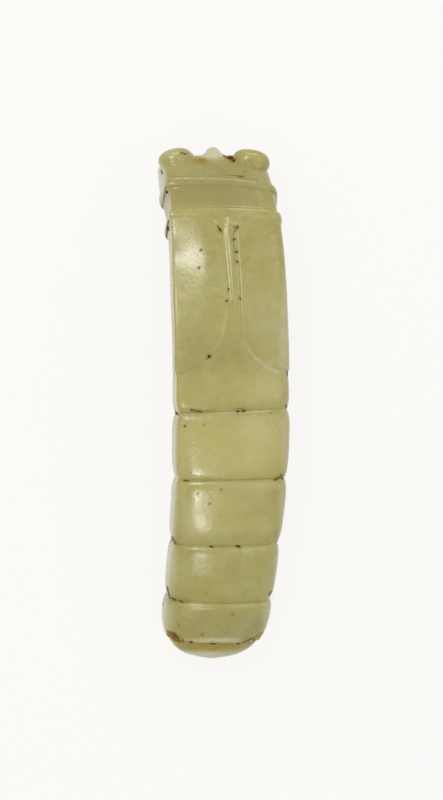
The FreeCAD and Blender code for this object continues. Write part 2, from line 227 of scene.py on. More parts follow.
def skin_distance(x, z, half_width, above, below, flare, squareness, crown, left, right):
    """How far a point lies outside a ring, measured along the line from the ring's middle."""
    half_width = np.where(x > 0, half_width * (1 - right), half_width)
    up = z / np.where(z > 0, above, below)
    across = x / (half_width * (1 - flare * np.clip(up, -1, 1)))
    roof = (np.minimum(across**2, 1) + RIDGE_SOFTNESS**2) ** RIDGE_POWER - RIDGE_SOFTNESS ** (2 * RIDGE_POWER)
    crown = np.where(z > 0, crown * roof, 0)
    up = z / np.where(z > 0, np.maximum(above - crown, LEAST), below)
    across = x / (half_width * (1 - flare * np.clip(up, -1, 1)))
    squareness = np.where(x < 0, squareness * left, squareness)
    squareness = np.where(z > 0, squareness, np.minimum(squareness, UNDERSIDE_SQUARENESS))
    share = (np.abs(across) ** squareness + np.abs(up) ** squareness) ** (1 / squareness)
    return np.maximum(np.hypot(x, z), 0.1) * (1 - 1 / np.maximum(share, LEAST))


def blended(a, b, reach):
    """Both solids, with a small fillet where they meet."""
    share = np.clip(0.5 + 0.5 * (b - a) / reach, 0, 1)
    return b * (1 - share) + a * share - reach * share * (1 - share)


def rounded(a, b, radius):
    """What the two solids share, with a rounded edge."""
    inside = np.minimum(np.maximum(a, b), -radius)
    return inside + np.hypot(np.maximum(a + radius, 0), np.maximum(b + radius, 0))


def line_distance(x, y, line):
    """Plan distance to a straight line between two points."""
    x0, y0, x1, y1 = line[:4]
    length = (x1 - x0) ** 2 + (y1 - y0) ** 2
    along = np.clip(((x - x0) * (x1 - x0) + (y - y0) * (y1 - y0)) / length, 0, 1)
    return np.hypot(x - x0 - along * (x1 - x0), y - y0 - along * (y1 - y0))


def bent(x, place, z):
    """From the straightened space to the seated stone, in millimetres."""
    skew = np.radians(np.interp(place, SKEWS[:, 0], SKEWS[:, 1]))
    sway = np.where(place > 0, HEAD_SWAY * (place / FACE) ** 3, TAIL_SWAY * (place / TAIL_TIP) ** 2)
    bend = place / ARCH_RADIUS
    along = x * np.sin(skew)
    return np.stack(
        (
            x * np.cos(skew) - sway - SEAT[0],
            ARCH_RADIUS * np.sin(bend) + along * np.cos(bend) + z * np.sin(bend) - SEAT[1],
            ARCH_RADIUS * (np.cos(bend) - 1) - along * np.sin(bend) + z * np.cos(bend) - SEAT[2],
        ),
        -1,
    )


def wobble(x, place, z):
    """The unevenness of hand grinding, in millimetres."""
    return (
        0.035 * np.sin(0.31 * place + 0.21 * x + 1.0)
        + 0.020 * np.sin(0.43 * x - 0.37 * place + 0.2 * z + 2.1)
        + 0.006 * np.sin(1.31 * place + 0.9 * z - 0.4 * x + 0.7)
        + 0.002 * np.sin(2.3 * x + 1.9 * place + 1.4 * z)
    )


def swell(x, place):
    """Low rounded swells that the grinding left on the back."""
    rise = 0.0
    for x0, p0, reach_x, reach_p, height in SWELLS:
        rise = rise + height * np.exp(-(((x - x0) / reach_x) ** 4) - ((place - p0) / reach_p) ** 2)
    return rise


def facet(x, place):
    """How much the facets take off the stone."""
    depth = 0.0
    for p0, reach, inner, outer, deep in FACETS:
        share = np.clip((inner - x) / (inner - outer), 0, 1.1)
        depth = depth + deep * (np.sqrt(share**2 + 0.01) - 0.1) * np.exp(-(((place - p0) / reach) ** 2))
    return depth


def tail_narrowing(place):
    past = np.clip((TAIL_TIP + TAIL_ROUNDING - place) / TAIL_ROUNDING, 0, 0.99999)
    return (1 - past**TIP_SQUARENESS) ** (1 / TIP_SQUARENESS)


def groove_inset(place, front, backs):
    """How far a barrel draws in towards its grooves."""
    share = np.clip((WING_BACK - place) / (WING_BACK - GROOVES[0]), 0, 1)
    inset = np.where(place > GROOVES[0], GROOVE_DEPTH * share**front, 0.0)
    marks = GROOVES + (TAIL_RIM,)
    for ahead, behind, back in zip(marks, marks[1:], backs):
        share = (ahead - place) / (ahead - behind)
        here = GROOVE_DEPTH * np.abs(2 * share - 1) ** np.where(share < 0.5, front, back)
        if behind == TAIL_RIM:
            here = here * np.clip(1 - share, 0, 1)
        inset = np.where((place <= ahead) & (place > behind), here, inset)
    return inset


def body_distance(x, place, z, sizes):
    """The plain body: face, barrels with their grooves, the tail's rim and cap, and the incised lines."""
    half_width, above, below, *shape = sizes
    inset = groove_inset(place, BARREL_FRONT, BARREL_BACKS)
    side_inset = groove_inset(place, FLANK_FRONT, FLANK_BACKS)
    face_share = np.clip((place - (FACE - FACE_ROUNDING)) / FACE_ROUNDING, 0, 1)
    rounding = FACE_ROUNDING * (1 - np.sqrt(1 - face_share**2))
    narrow = np.maximum(tail_narrowing(place), THINNEST)
    cap = np.clip((TAIL_RIM - place) / TAIL_STEP_RUN, 0, 1) * TAIL_STEP * narrow
    draw_in = inset + rounding + cap
    body = skin_distance(
        x,
        z,
        np.maximum(half_width * narrow - draw_in + inset - side_inset, THINNEST),
        np.maximum(above * narrow - draw_in + BACK_GROOVE_LOSS * inset, THINNEST),
        np.maximum(below * narrow - inset * UNDERSIDE_GROOVE_SHARE - rounding - cap, THINNEST),
        *shape,
    )
    body = np.maximum(body, np.maximum(place - FACE, TAIL_TIP - place))
    back = np.clip((z + 3.0) / 4.0, UNDERSIDE_LINE_SHARE, 1)
    for index, groove in enumerate(GROOVES):
        line = place - groove + INCISED_WAVER * np.sin(0.9 * x + 2 * index)
        body = body + INCISED_DEPTH * back * np.exp(-((line / INCISED_WIDTH) ** 2))
    depth, behind, width = TAIL_LINE
    return body + depth * np.exp(-(((place - TAIL_RIM + behind) / width) ** 2))


def wing_gap(x, place):
    """How far inside the gap between the wings a point lies: positive in the gap."""
    left = np.interp(place, GAP[:, 0], GAP[:, 1])
    right = np.interp(place, GAP[:, 0], GAP[:, 2])
    edge = np.where(x < 0, left + x, right - x)
    return np.minimum(edge, (SLOT_FRONT - place) * SLOT_FRONT_SLOPE)


def tongue_middle(place):
    """How far forward on the tongue a place lies, from 0 to 1, and x of the crest there."""
    share = np.clip((place - TONGUE_TIP) / (SLOT_FRONT - TONGUE_TIP), 0, 1)
    return share, TONGUE_CREST[1] + (TONGUE_CREST[0] - TONGUE_CREST[1]) * share


def with_wings(stone, x, place, z, sizes):
    """The stone with the plate of the wings on it, and the tongue between them."""
    half_width, above, below, *shape = sizes
    gap = wing_gap(x, place)
    rear = np.clip((REAR_WEAR_FRONT - place) / REAR_WEAR_RUN, 0, 1)
    leftness = np.clip(0.5 - x / MIDDLE_RUN, 0, 1)
    leftness = leftness * leftness * (3 - 2 * leftness)
    worn = LEFT_WEAR * leftness * np.exp(-((gap / LEFT_WEAR_REACH) ** 2))
    worn = worn + RIGHT_WEAR * (1 - leftness) * rear * np.exp(-((gap / RIGHT_WEAR_REACH) ** 2))
    rise = WING_RISE - worn
    plate = skin_distance(x, z, half_width + rise, above + rise, below, *shape)
    limit = np.maximum(WING_FOOT - z, place - WING_FRONT - WING_OVERLAP)
    edge = WING_EDGE + LEFT_EDGE_MORE * leftness + REAR_EDGE_MORE * rear
    lobes = rounded(plate, np.maximum(gap, limit), edge)

    share, crest = tongue_middle(place)
    side = np.abs(x - crest + TONGUE_SHIFT) - (TONGUE_HALF_WIDTH + TONGUE_SPREAD * share)
    most, middle, reach = LEFT_SLOPE
    slope = np.where(x < crest, most * np.exp(-(((place - middle) / reach) ** 2)), RIGHT_SLOPE)
    slope = slope * (np.sqrt((x - crest) ** 2 + CREST_SOFTNESS**2) - CREST_SOFTNESS)
    dive, ahead, run = ROOT_SLOPE
    slope = slope + dive * np.clip((place - SLOT_FRONT - ahead) / run, 0, 1)
    tip = (TONGUE_TIP - place) * TONGUE_TIP_SLOPE
    tongue = rounded(plate + TONGUE_LOWERING + slope, np.maximum(side, tip), TONGUE_EDGE)
    return blended(blended(stone, lobes, WING_FILLET), np.maximum(tongue, limit), WING_FILLET)


def slot_depth(x, place, z):
    """How much deeper the floors of the slots and the short cuts at their fronts are."""
    share, crest = tongue_middle(place)
    depths = []
    for side, deep in SLOT_FLOORS.items():
        outer = np.interp(place, GAP[:, 0], GAP[:, 1 if side < 0 else 2])
        floor = x - (side * outer + crest + side * (0.3 + 0.2 * share)) / 2
        reach = np.clip((place - TONGUE_TIP) / 3, 0, 1) * np.clip((SLOT_FRONT - place) / 0.8, 0, 1)
        depths.append(deep * reach * (z > 0) * np.exp(-((floor / SLOT_FLOOR_WIDTH) ** 2)))
    for cut in SLOT_CUTS:
        depths.append(SLOT_CUT_DEPTH * (z > 0) * np.exp(-((line_distance(x, place, cut) / SLOT_CUT_WIDTH) ** 2)))
    return depths


def with_hoops(stone, x, place, z, sizes):
    """The stone with the two raised hoops of the collar, which lean back towards the wings."""
    half_width, above, below, *shape = sizes
    level = place - (z - above) * HOOP_LEAN
    rise = above + HOOP_RISE - HOOP_FLATTENING
    band = skin_distance(x, z, half_width + HOOP_RISE, rise, below - HOOP_BURIAL, *shape)
    for front in (HEAD_BACK, NECK_BACK):
        ahead = level - front
        bevel = band * math.cos(HOOP_BEVEL) + (ahead + HOOP_BEVEL_LENGTH) * math.sin(HOOP_BEVEL)
        back_bevel = (band - ahead - HOOP_LENGTH + HOOP_BACK_BEVEL) * math.sqrt(0.5)
        hoop = rounded(band, np.abs(ahead + HOOP_LENGTH / 2) - HOOP_LENGTH / 2, HOOP_EDGE)
        hoop = np.maximum(rounded(hoop, back_bevel, HOOP_BACK_EDGE), bevel)
        stone = blended(stone, hoop, HOOP_FILLET)
    return stone


def eye_distance(x, place, z, side):
    turn = math.radians(EYE_TURNS[side]) * side
    dx, dy, dz = x - side * EYE_SPREAD / 2, place - (FACE - EYE_SETBACK), z - EYE_RAISE
    across = dx * math.cos(turn) - dy * math.sin(turn)
    along = dx * math.sin(turn) + dy * math.cos(turn)
    parts = [np.abs(2 * v / size) ** EYE_SQUARENESS for v, size in zip((across, along, dz), EYE)]
    share = np.maximum(sum(parts) ** (1 / EYE_SQUARENESS), LEAST)
    return np.sqrt(dx**2 + dy**2 + dz**2) * (1 - 1 / share)


def nose_distance(x, place, z):
    """The upright keel between the eyes."""
    along = np.clip((place - (FACE - NOSE_ROOT)) / (NOSE_REACH + NOSE_ROOT), 0, 1)
    width = NOSE_WIDTHS[0] - NOSE_WIDTHS[1] * along ** NOSE_WIDTHS[2]
    height = NOSE_HEIGHTS[0] - NOSE_HEIGHTS[1] * along
    x = x - NOSE_SHIFT * along
    up = z - NOSE_RAISE
    share = np.abs(x / width) ** NOSE_SQUARENESS + np.abs(up / height) ** NOSE_SQUARENESS
    share = share ** (1 / NOSE_SQUARENESS)
    keel = np.hypot(x, up) * (1 - 1 / np.maximum(share, LEAST))
    ends = np.maximum(place - FACE - NOSE_REACH, FACE - NOSE_ROOT - NOSE_BURIAL - place)
    return rounded(keel, ends, NOSE_EDGE)


def stone_distance(x, place, z):
    """Below zero inside the carved stone, above zero outside."""
    height = z
    z = z + facet(x, place) * np.clip(z / BACK_HEIGHT, 0, 1)
    sizes = ring(place)
    stone = body_distance(x, place, z, sizes)
    stone = with_wings(stone, x, place, z, sizes)
    for depth in slot_depth(x, place, z):
        stone = stone + depth
    stone = with_hoops(stone, x, place, z, sizes)
    for side in (-1, 1):
        eye = eye_distance(x, place, z, side)
        crease = CREASE_DEPTH * np.exp(-(eye**2 + stone**2) / CREASE_SPREAD)
        stone = blended(stone, eye, EYE_FILLET) + crease
    stone = blended(stone, nose_distance(x, place, z), NOSE_FILLET)
    stone = stone + wobble(x, place, z) - swell(x, place) * np.clip(z / BACK_HEIGHT, 0, 1)
    return np.maximum(stone, -bent(x, place, height)[..., 2])


def stations(start, end, count, marks):
    """Places from start to end, closer together near each mark: place, reach and gain."""
    samples = np.linspace(start, end, 4001)
    weight = np.ones_like(samples)
    for place, reach, gain in marks:
        weight += gain * np.exp(-(((samples - place) / reach) ** 2))
    grown = np.concatenate([[0], np.cumsum((weight[1:] + weight[:-1]) / 2)])
    return np.interp(np.linspace(0, grown[-1], count), grown, samples)


def column_angles():
    """Angles of the mesh's columns, closer together over the back, the slots and the wings' foot."""
    fine = np.linspace(0, 2 * math.pi, 7201)
    x = 8.8 * np.sign(np.cos(fine)) * np.abs(np.cos(fine)) ** (2 / 4.6)
    z = 7.0 * np.sign(np.sin(fine)) * np.abs(np.sin(fine)) ** (2 / 4.6)
    weight = np.where(z > 0, 1.5, 0.7) + 2.2 * np.exp(-((x / 1.7) ** 2)) * (z > 0)
    corners = 1.5 * np.exp(-(((np.abs(x) - 7.85) / 0.5) ** 2)) * (z > 3)
    weight += 1.2 * np.exp(-(((z - WING_FOOT) / 0.7) ** 2)) + corners
    step = np.hypot(np.diff(x), np.diff(z)) * (weight[1:] + weight[:-1]) / 2
    grown = np.concatenate([[0], np.cumsum(step)])
    chosen = np.interp(np.arange(COLUMNS) / COLUMNS * grown[-1], grown, fine)
    return np.arctan2(np.interp(chosen, fine, z), np.interp(chosen, fine, x))


def ring_points(place, angles, draw_in=0.0, scale=1.0):
    """Points of a plain ring in the given directions."""
    half_width, above, below, *shape = ring(place)
    sizes = [size * scale - draw_in for size in (half_width, above, below)]
    x, z = np.cos(angles), np.sin(angles)
    for _ in range(6):
        nearer = 1 - skin_distance(x, z, *sizes, *shape) / np.hypot(x, z)
        x, z = x * nearer, z * nearer
    return x, z


def stone_rays():
    """Start and aim of every ray that looks for the skin, row by row from the face to the tail."""
    angles = column_angles()
    starts, aims = [], []

    def row(start, x, place, z):
        starts.append(np.tile(start, (COLUMNS, 1)))
        aims.append(np.stack((x, np.broadcast_to(place, COLUMNS), z), -1))

    # The flat of the face, and its rounded edge
    edge_back, first = FACE - FACE_ROUNDING, HEAD_BACK + 0.2
    head_middle = np.array((0, first - float(ring(first)[1]) * HOOP_LEAN, 0))
    x, z = ring_points(FACE, angles, FACE_ROUNDING)
    for share in np.linspace(0, 1, FACE_RINGS + 1)[1:]:
        row(head_middle, x * share, FACE, z * share)
    for share in np.linspace(0, 1, EDGE_RINGS + 1)[1:]:
        turn = share * math.pi / 2
        place = FACE - FACE_ROUNDING * (1 - math.cos(turn))
        x, z = ring_points(place, angles, FACE_ROUNDING * (1 - math.sin(turn)))
        row(head_middle, x, place, z)

    # Head and body, with rows that lean like the hoops near them
    for place in np.linspace(edge_back, first, HEAD_ROWS)[1:]:
        slant = HOOP_LEAN * (edge_back - place) / (edge_back - first)
        x, z = ring_points(place, angles)
        height = float(ring(place)[1])
        row(head_middle, x, place + slant * (z - height), z)
    marks = [(front - offset, 0.22, 3.2) for front in (HEAD_BACK, NECK_BACK) for offset in (0, HOOP_LENGTH)]
    marks += [(groove, 0.45, 3.0) for groove in GROOVES]
    marks += [(6.0, 2.6, 0.6), (SLOT_FRONT + 0.4, 0.8, 0.8)]
    last = TAIL_TIP + TAIL_ROUNDING
    for place in stations(first, last, BODY_ROWS, marks)[1:-1]:
        slant = HOOP_LEAN * np.clip((place - 17.0) / (NECK_BACK - HOOP_LENGTH - 18.0), 0, 1)
        x, z = ring_points(place, angles)
        height = float(ring(place)[1])
        row((0, place - slant * height, 0), x, place + slant * (z - height), z)

    # Tail
    rim = math.degrees(math.asin((last - TAIL_RIM) / TAIL_ROUNDING))
    for degrees in stations(0, 90, TAIL_ROWS, [(rim + 1, 2.2, 3.5)])[:-1]:
        place = last - TAIL_ROUNDING * math.sin(math.radians(degrees))
        x, z = ring_points(place, angles, 0.0, float(tail_narrowing(place)))
        row((0, last, 0), x, place, z)
    poles = np.array(((0, FACE, 0), (0, TAIL_TIP, 0)))
    pole_starts = np.array((head_middle, (0, last, 0)))
    return np.array(starts), np.array(aims), pole_starts, poles


def skin_along(starts, aims):
    """The outermost point of the stone along each ray."""
    ray = aims - starts
    ray /= np.linalg.norm(ray, axis=-1, keepdims=True)
    nominal = np.linalg.norm(aims - starts, axis=-1)

    def distance(reach):
        return stone_distance(*np.moveaxis(starts + ray * reach[..., None], -1, 0))

    outer = nominal + SEARCH_OUT
    inner = outer.copy()
    found = np.zeros(nominal.shape, bool)
    for step in range(1, SEARCH_STEPS + 1):
        here = np.maximum(nominal + SEARCH_OUT - step * (SEARCH_OUT + SEARCH_IN) / SEARCH_STEPS, LEAST)
        hit = ~found & (distance(here) < 0)
        inner = np.where(hit, here, inner)
        found |= hit
        outer = np.where(found, outer, here)
    for _ in range(SEARCH_HALVINGS):
        middle = (inner + outer) / 2
        within = distance(middle) < 0
        inner = np.where(within, middle, inner)
        outer = np.where(within, outer, middle)
    return starts + ray * ((inner + outer) / 2)[..., None]


def new_mesh(name, points, faces):
    mesh = bpy.data.meshes.new(name)
    mesh.from_pydata(points, [], faces)
    mesh.update()
    return mesh


def new_object(name, data):
    made = bpy.data.objects.new(name, data)
    bpy.context.collection.objects.link(made)
    return made


def evaluated_mesh(piece):
    """The piece's shape with its modifiers worked out, as a plain mesh."""
    depsgraph = bpy.context.evaluated_depsgraph_get()
    return bpy.data.meshes.new_from_object(piece.evaluated_get(depsgraph))


def shade_smooth(mesh):
    mesh.polygons.foreach_set("use_smooth", np.ones(len(mesh.polygons), bool))
    mesh.update()


def band_faces(rows, columns):
    """Four-sided faces between neighbouring rows of points, where every row closes on itself."""
    faces = []
    for row in range(rows - 1):
        near, far = row * columns, (row + 1) * columns
        for column in range(columns):
            after = (column + 1) % columns
            faces.append((near + column, near + after, far + after, far + column))
    return faces


def turned_outward(mesh):
    """The mesh with its faces outward: a closed mesh turned inside out has a volume below zero."""
    points = np.empty(len(mesh.vertices) * 3)
    mesh.vertices.foreach_get("co", points)
    mesh.calc_loop_triangles()
    corners = np.empty(len(mesh.loop_triangles) * 3, int)
    mesh.loop_triangles.foreach_get("vertices", corners)
    a, b, c = points.reshape(-1, 3)[corners.reshape(-1, 3)].transpose(1, 0, 2)
    if np.einsum("ij,ij->i", a, np.cross(b, c)).sum() < 0:
        mesh.flip_normals()
    return mesh


def make_stone():
    """The carved stone as one closed mesh, still without its bore."""
    starts, aims, pole_starts, poles = stone_rays()
    rows = starts.shape[0]
    grid = skin_along(starts, aims)
    ends = skin_along(pole_starts, poles)
    straight = np.concatenate([grid.reshape(-1, 3), ends])
    points = bent(*straight.T) * MM
    faces = band_faces(rows, COLUMNS)
    head, tail = rows * COLUMNS, rows * COLUMNS + 1
    last = (rows - 1) * COLUMNS
    for column in range(COLUMNS):
        after = (column + 1) % COLUMNS
        faces.append((head, after, column))
        faces.append((tail, last + column, last + after))
    return turned_outward(new_mesh("jade_stone", points.tolist(), faces))


def bore_cutter():
    """A straight rod with a countersunk mouth at each flank, closed at both ends."""
    profile = []
    for side, skin in zip((-1, 1), BORE_MOUTHS):
        rows = (
            (skin + side * BORE_OVERRUN, MOUTH_RADIUS),
            (skin, MOUTH_RADIUS),
            (skin - side * MOUTH_DEPTH, BORE_RADIUS),
        )
        profile += rows if side < 0 else rows[::-1]
    y, z = BORE_MIDDLE
    points = []
    for x, radius in profile:
        for step in range(BORE_SIDES):
            angle = 2 * math.pi * step / BORE_SIDES
            points.append((x * MM, (y + radius * math.cos(angle)) * MM, (z + radius * math.sin(angle)) * MM))
    faces = band_faces(len(profile), BORE_SIDES)
    faces.append(tuple(reversed(range(BORE_SIDES))))
    faces.append(tuple(range((len(profile) - 1) * BORE_SIDES, len(profile) * BORE_SIDES)))
    return turned_outward(new_mesh("bore_cutter", points, faces))


def bore(stone):
    """Cuts the bore through the stone, and leaves it as a plain mesh."""
    cutter = new_object("bore_cutter", bore_cutter())
    cut = stone.modifiers.new("bore", "BOOLEAN")
    cut.operation = "DIFFERENCE"
    cut.solver = "EXACT"
    cut.object = cutter
    mesh = evaluated_mesh(stone)
    stone.modifiers.remove(cut)
    bpy.data.objects.remove(cutter)
    stone.data = mesh
    shade_smooth(mesh)


stone = new_object("jade_stone", make_stone())
bore(stone)


# Stains and dirt, painted highlights, and painted light and shade, in the photograph's pixels. Spots: x, y, reaches
# and strength. Specks: x, y and strength. Strokes: both ends, half width and strength.
AMBER_SPOTS = (
    (201, 161, 8.5, 3.6, 1.0), (174, 636, 7, 4.2, 0.8), (212, 647, 34, 4.2, 0.75), (179, 600, 13, 3.5, 0.45),
    (198, 412, 14, 3.2, 0.5), (281, 476, 6, 4.0, 0.45), (232, 159, 9, 3.5, 0.4), (186, 155, 7, 3.0, 0.35),
    (243, 409, 12, 2.6, 0.35), (172, 540, 7, 4.0, 0.45), (247, 640, 9, 3.0, 0.6), (225, 546, 22, 2.2, 0.35),
)
# Painted highlights and painted reflections of the white room: pale rims along both flanks, the nose and face, the
# tail's rim and cap, and shine on the left wing and the second barrel
PAINTED_HIGHLIGHT_SPOTS = (
    (159, 186, 7, 24, 1.0), (212, 151, 13, 7.5, 1.6), (176, 154, 15, 4.0, 0.35), (163, 618, 9, 20, 0.8),
    (205, 655, 24, 3.5, 1.0), (219, 640, 34, 2.2, 0.9), (169, 300, 4.5, 90, 0.5), (171, 450, 4, 60, 0.35),
    (170, 250, 4, 24, 0.6), (285, 330, 5, 60, 0.55), (285, 440, 5, 34, 0.5), (283, 510, 5, 30, 0.5),
    (276, 572, 5, 28, 0.4), (268, 612, 6, 22, 0.4), (171, 562, 6, 28, 0.7), (173, 512, 5, 28, 0.6),
    (190, 520, 14, 26, 0.25), (186, 262, 16, 34, 0.25),
)
# Painted highlights along the bright right edge of the wings' rear
PAINTED_HIGHLIGHT_STROKES = (
    (243, 341, 255, 358.5, 1.9, 0.3), (255, 358.5, 268, 366.6, 1.9, 0.65), (268, 366.6, 277, 372.4, 1.9, 0.5),
    (266, 362.6, 284, 372, 1.2, 0.6),
)
SPECKS = (
    (201, 251, 1.0), (199, 268.5, 1.0), (185, 426, 1.0), (204, 424.5, 0.6), (270, 413, 0.4), (198, 493, 0.6),
    (221, 489, 0.6), (210, 503, 0.9), (232.5, 614.5, 0.45), (202, 634, 0.5), (206, 593, 0.35), (179, 625, 0.5),
    (163, 212, 0.8), (267, 421.5, 0.3), (245, 172, 0.3), (283, 521, 0.5),
)
# Partly the stone's uneven tone, partly painted shade, darker on the head, the collar and near the tail, and
# painted light, lighter over the middle of the back and the tail's cap
TONE_AND_SHADE_SPOTS = (
    (232, 447, 52, 30, 0.9), (236, 350, 40, 16, -0.35), (190, 350, 16, 28, -0.25), (262, 300, 22, 60, -0.1),
    (225, 510, 48, 26, 0.5), (220, 625, 42, 16, -0.45), (215, 575, 50, 22, 0.1), (232, 390, 50, 14, 0.4),
    (178, 450, 9, 40, 0.5), (215, 192, 56, 16, -0.9), (222, 166, 40, 9, -0.6), (212, 651, 32, 7, 0.6),
)
BROWN_STROKES = (
    (213, 222, 219, 228, 0.7, 0.8), (217.5, 226.5, 222, 233, 1.3, 1.0), (222, 233, 226, 262, 0.9, 0.3),
    (237.4, 226, 236.2, 231, 1.1, 1.0), (234.6, 226, 233.4, 240, 0.7, 0.8), (233.4, 240, 234.8, 262, 0.9, 0.7),
    (228.6, 284, 227.2, 312, 0.9, 0.6), (239.0, 297, 239.4, 300, 0.8, 0.9), (226, 175.6, 250, 176.4, 0.7, 0.9),
    (250, 176.4, 262, 178.2, 0.8, 0.6), (224, 155.5, 234, 161, 1.8, 1.0), (232, 158, 241, 164, 1.0, 0.6),
    (180, 152.8, 187, 153.6, 1.2, 0.9), (184, 154, 185, 157, 1.0, 0.6), (261, 166.4, 264, 167.4, 1.2, 1.0),
    (161, 170, 162, 173, 1.2, 1.0), (158, 169, 175, 166.5, 0.5, 0.35), (166, 187, 161, 212, 1.3, 0.75),
    (168.6, 221, 165.6, 240, 1.4, 0.85), (174, 411, 178.5, 414.5, 1.5, 1.0), (191, 409.6, 201, 411.6, 1.7, 1.0),
    (200, 411.6, 213, 410.4, 1.0, 0.6), (213, 410.4, 234, 411.6, 0.7, 0.45),
    (236, 408.4, 247, 409.6, 0.9, 0.75), (247, 409, 285, 406.6, 0.7, 0.45), (285.5, 405, 286.5, 409, 1.4, 1.0),
    (176, 478.6, 250, 479.6, 0.6, 0.4), (184.5, 480, 188.5, 480.4, 1.4, 1.0),
    (274.6, 479.6, 278.4, 477, 1.8, 1.0), (280.6, 474.6, 282, 478.6, 1.4, 1.0),
    (172, 537.4, 176, 543.4, 1.8, 1.0), (176, 543.4, 209, 546, 0.6, 0.4), (209.6, 545.6, 213, 546.4, 1.2, 0.9),
    (213, 546.4, 236, 546, 0.7, 0.6), (236.4, 545.2, 240, 546.8, 1.6, 1.0),
    (275.6, 541.6, 278.4, 540.4, 1.2, 0.9), (167, 587, 169.4, 596, 1.6, 1.0),
    (171.6, 597.6, 175.4, 599.6, 1.6, 1.0), (179.6, 600.4, 182.6, 602, 1.5, 1.0),
    (183, 602, 204, 604.4, 0.8, 0.6), (204, 604.4, 262, 600, 0.5, 0.35), (269, 594.6, 271.4, 591.4, 1.4, 1.0),
    (186, 639.4, 196, 643.6, 0.9, 0.7), (196, 643.4, 243, 643.4, 0.8, 0.7), (243, 643.2, 254, 637.6, 1.1, 1.0),
    (169, 634, 180, 632.8, 0.7, 0.6), (173.4, 637, 179, 635.4, 2.2, 0.8), (286.6, 371, 287.4, 376, 1.2, 1.0),
    (209.6, 356.4, 206.6, 359.8, 1.0, 1.0), (180, 379, 181, 381.4, 1.0, 0.9), (176, 378, 184, 375, 0.8, 0.4),
    (238, 382, 240, 402, 0.8, 0.3), (192, 562, 190, 582, 1.6, 0.3), (225, 590, 224, 599, 0.7, 0.45),
    (162, 600, 163, 606, 0.9, 0.8),
)
SPECK_RADIUS = 1.08  # pixels
SPECK_GAIN = 1.8


def stroke_strength(column, row, stroke):
    half_width, strength = stroke[4:]
    return strength * np.exp(-((line_distance(column, row, stroke) / half_width) ** 2))


def spot_strength(column, row, spot):
    x, y, reach_x, reach_y, strength = spot
    return strength * np.exp(-(((column - x) / reach_x) ** 2 + ((row - y) / reach_y) ** 2) ** 1.3)


def pixels(points):
    """Where points of the seated stone, in metres, show in the photograph."""
    points = points / MM
    side = points[:, 0] * math.cos(TILT) + points[:, 2] * math.sin(TILT)
    top = -SEAT[0] * math.cos(TILT) + (ring(0.0)[1] - SEAT[2]) * math.sin(TILT)
    return TOP_OF_BOW[0] + (side - top) / PIXEL, TOP_OF_BOW[1] - (points[:, 1] + SEAT[1]) / PIXEL


def paint(name, facing, values):
    """A value for each point of the stone, kept to the side that faces the photograph."""
    made = stone.data.attributes.new(name, "FLOAT", "POINT")
    made.data.foreach_set("value", (np.clip(values, 0, 1) * facing).astype(np.float32))


def paint_marks():
    count = len(stone.data.vertices)
    points, normal = np.empty(count * 3), np.empty(count * 3)
    stone.data.vertices.foreach_get("co", points)
    stone.data.vertices.foreach_get("normal", normal)
    points, normal = points.reshape(-1, 3), normal.reshape(-1, 3)
    column, row = pixels(points)
    towards = normal[:, 2] * math.cos(TILT) - normal[:, 0] * math.sin(TILT)
    facing = np.clip(towards / 0.15 + 0.6, 0, 1)
    # Amber stains, painted highlights and brown crust marks, one value each
    for name, spots, strokes in (
        ("amber", AMBER_SPOTS, ()),
        ("painted_highlight", PAINTED_HIGHLIGHT_SPOTS, PAINTED_HIGHLIGHT_STROKES),
        ("brown", (), BROWN_STROKES),
    ):
        values = np.zeros(count)
        for spot in spots:
            values = np.maximum(values, spot_strength(column, row, spot))
        for stroke in strokes:
            values = np.maximum(values, stroke_strength(column, row, stroke))
        paint(name, facing, values)
    # The stone's tone with painted light and shade, starting from one half
    tone_and_shade = np.full(count, 0.5)
    for x, y, reach_x, reach_y, strength in TONE_AND_SHADE_SPOTS:
        tone_and_shade += strength / 2 * np.exp(-((column - x) / reach_x) ** 4 - ((row - y) / reach_y) ** 4)
    paint("tone_and_shade", 1.0, tone_and_shade)
    from_bore = np.hypot(points[:, 1] / MM - BORE_MIDDLE[0], points[:, 2] / MM - BORE_MIDDLE[1])
    paint("bore", 1.0, (from_bore < MOUTH_RADIUS + MOUTH_STAIN_MARGIN) * (points[:, 0] < 0))
    # Each speck takes the point of the mesh nearest to it, and fades out around it
    values = np.zeros(count)
    for x, y, strength in SPECKS:
        away = np.hypot(column - x, row - y) + 100 * (towards < 0.2)
        values = np.maximum(values, strength * SPECK_GAIN * np.exp(-((away / SPECK_RADIUS) ** 2)))
        values[np.argmin(away)] = strength
    paint("speck", 1.0, values)


paint_marks()


# Nodes of the materials
def feed(tree, socket, value):
    """Links a socket to another one, or sets its value."""
    if isinstance(value, bpy.types.NodeSocket):
        tree.links.new(value, socket)
    else:
        socket.default_value = value


def add(tree, kind, inputs=None, **settings):
    made = tree.nodes.new(kind)
    for name, value in settings.items():
        setattr(made, name, value)
    for key, value in (inputs or {}).items():
        feed(tree, made.inputs[key], value)
    return made


def colour(red, green, blue):
    """A colour written as it looks on a screen, from 0 to 255."""

    def linear(v):
        v = v / 255
        return v / 12.92 if v <= 0.04045 else ((v + 0.055) / 1.055) ** 2.4

    return (linear(red), linear(green), linear(blue), 1.0)


def mixed(tree, share, below, above):
    made = tree.nodes.new("ShaderNodeMix")
    made.data_type = "RGBA"
    for label, kind, value in (("Factor", "VALUE", share), ("A", "RGBA", below), ("B", "RGBA", above)):
        feed(tree, next(s for s in made.inputs if s.name == label and s.type == kind), value)
    return next(s for s in made.outputs if s.type == "RGBA")


def maths(tree, operation, a, b=None, clamp=False):
    inputs = {0: a} if b is None else {0: a, 1: b}
    return add(tree, "ShaderNodeMath", inputs, operation=operation, use_clamp=clamp).outputs[0]


def times(tree, a, b):
    return maths(tree, "MULTIPLY", a, b)


def plus(tree, a, b):
    return maths(tree, "ADD", a, b)


def noise(tree, vector, scale, detail, **more):
    return add(tree, "ShaderNodeTexNoise", {"Vector": vector, "Scale": scale, "Detail": detail, **more}).outputs[0]


